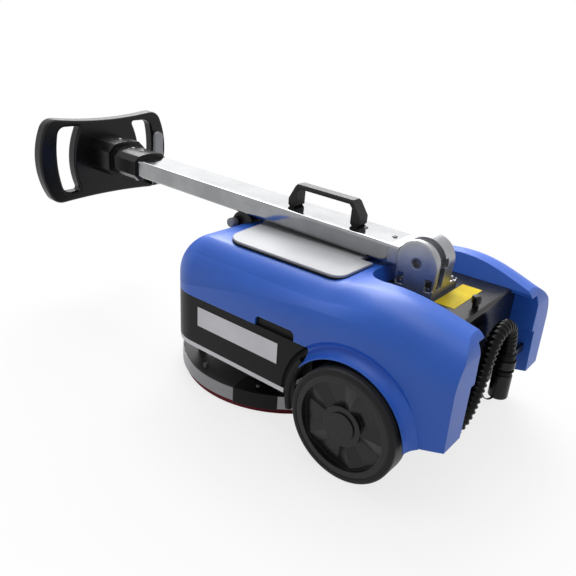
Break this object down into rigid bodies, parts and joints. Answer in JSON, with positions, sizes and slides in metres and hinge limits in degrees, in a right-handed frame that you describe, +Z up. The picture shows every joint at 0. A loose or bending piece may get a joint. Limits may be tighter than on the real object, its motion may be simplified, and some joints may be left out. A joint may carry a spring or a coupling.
{
  "type": "walk-behind floor scrubber",
  "caption": "Compact walk-behind floor scrubber with disc pad, rear wheels, moulded tank body and a mast with loop handles that folds forwards over it.",
  "frame": {"origin": "middle of the scrubbing pad's face, on the floor", "axes": "+X to the operator's right, +Y forwards, along the folded mast to the handle, +Z up"},
  "size_m": [0.48, 1.1311, 0.4429],
  "materials": {
    "shell_blue": "fine grain",
    "housing_black": "satin",
    "plastic_black": "fine grain",
    "plastic_grey": "satin",
    "lid_grey": "textured",
    "label_yellow": "bare printed film",
    "mast_aluminium": "extruded, satin",
    "cast_grey": "cast, painted",
    "plate_aluminium": "brushed",
    "steel": "zinc plated",
    "motor_grey": "satin",
    "tyre_grey": "solid tread",
    "rubber_black": "matt",
    "hose_black": "satin",
    "pad_red": "non-woven"
  },
  "bodies": {
    "body": {"deck_plate": "motor_grey", "deck_band": "plate_aluminium", "splash_skirts": "housing_black", "deck_posts": "plastic_grey", "deck_screws": "steel", "brush_motor": "motor_grey", "chassis_plate": "plate_aluminium", "batteries": "plastic_black", "vacuum_motor": "plastic_black", "control_box": "plastic_grey", "front_housing": "housing_black", "main_shell": "shell_blue", "recovery_tank": "plastic_grey", "solution_tank": "plastic_grey", "rear_cover": "plastic_black", "mast_pedestal": "cast_grey", "label_plate": "label_yellow", "nameplate": "plate_aluminium", "water_valve": "plastic_grey", "mast_bracket": "cast_grey", "bracket_bolts": "steel", "pivot_bolt": "steel", "mast_rest": "plastic_black", "axle_blocks": "cast_grey", "stub_axles": "steel", "squeegee_hanger": "steel", "squeegee_pin": "steel", "drain_outlet": "plastic_black", "drain_hose": "hose_black", "hose_cuff": "rubber_black", "hose_clip": "plastic_black"},
    "mast": {"mast_tube": "mast_aluminium", "mast_knuckle": "cast_grey", "mast_screws": "steel", "carry_handle": "plastic_black", "neck_sleeve": "plastic_black", "handle_head": "plastic_black", "control_panel": "plastic_grey"},
    "lever": {"drive_lever": "plastic_grey"},
    "power_key": {"key_power": "plastic_grey"},
    "water_key": {"key_water": "plastic_grey"},
    "wheel_left": {"tyre_left": "tyre_grey", "rim_left": "plastic_grey", "hub_cap_left": "plastic_grey", "bearings_left": "steel"},
    "wheel_right": {"tyre_right": "tyre_grey", "rim_right": "plastic_grey", "hub_cap_right": "plastic_grey", "bearings_right": "steel"},
    "disc": {"pad": "pad_red", "pad_driver": "plastic_black", "drive_shaft": "steel"},
    "lid": {"tank_lid": "lid_grey", "lid_seal": "rubber_black"},
    "water_knob": {"valve_knob": "plastic_black"},
    "clamp_knob": {"rest_knob": "plastic_grey"},
    "squeegee": {"squeegee_body": "plastic_black", "squeegee_blades": "rubber_black", "squeegee_arms": "steel"},
    "cap": {"drain_cap": "plastic_black"}
  },
  "joints": [
    {"name": "mast_fold", "type": "hinge", "parent": "body", "child": "mast", "pos_m": [0, -0.3085, 0.329], "axis": [1, 0, 0], "range_deg": [0, 125]},
    {"name": "lever_pull", "type": "hinge", "parent": "mast", "child": "lever", "pos_m": [0.148, 0.6021, 0.25488], "axis": [-1, 0, 0], "range_deg": [0, 5.2], "stiffness_Nm_per_rad": 6, "springref_deg": -2.86},
    {"name": "power_press", "type": "slide", "parent": "mast", "child": "power_key", "axis": [0, -0.9997, -0.0246], "range_m": [0, 0.002], "stiffness_N_per_m": 400, "springref_m": -0.001},
    {"name": "water_press", "type": "slide", "parent": "mast", "child": "water_key", "axis": [0, -0.9997, -0.0246], "range_m": [0, 0.002], "stiffness_N_per_m": 400, "springref_m": -0.001},
    {"name": "left_wheel_spin", "type": "hinge", "parent": "body", "child": "wheel_left", "pos_m": [-0.218, -0.314, 0.1], "axis": [1, 0, 0], "continuous": true},
    {"name": "right_wheel_spin", "type": "hinge", "parent": "body", "child": "wheel_right", "pos_m": [0.218, -0.314, 0.1], "axis": [1, 0, 0], "continuous": true},
    {"name": "disc_spin", "type": "hinge", "parent": "body", "child": "disc", "pos_m": [0, 0, 0], "axis": [0, 0, 1], "continuous": true},
    {"name": "lid_lift", "type": "slide", "parent": "body", "child": "lid", "axis": [0, 0, 1], "range_m": [0, 0.0024]},
    {"name": "water_knob_turn", "type": "hinge", "parent": "body", "child": "water_knob", "pos_m": [-0.019, -0.411, 0.286], "axis": [0, 0, 1], "range_deg": [0, 270]},
    {"name": "clamp_knob_turn", "type": "hinge", "parent": "body", "child": "clamp_knob", "pos_m": [-0.035, 0.132, 0.29003], "axis": [1, 0, 0], "continuous": true},
    {"name": "squeegee_lift", "type": "hinge", "parent": "body", "child": "squeegee", "pos_m": [0, -0.342, 0.07], "axis": [1, 0, 0], "range_deg": [0, 8.5]},
    {"name": "cap_turn", "type": "hinge", "parent": "body", "child": "cap", "pos_m": [0.056, -0.456, 0.114], "axis": [0, 0, 1], "continuous": true}
  ]
}
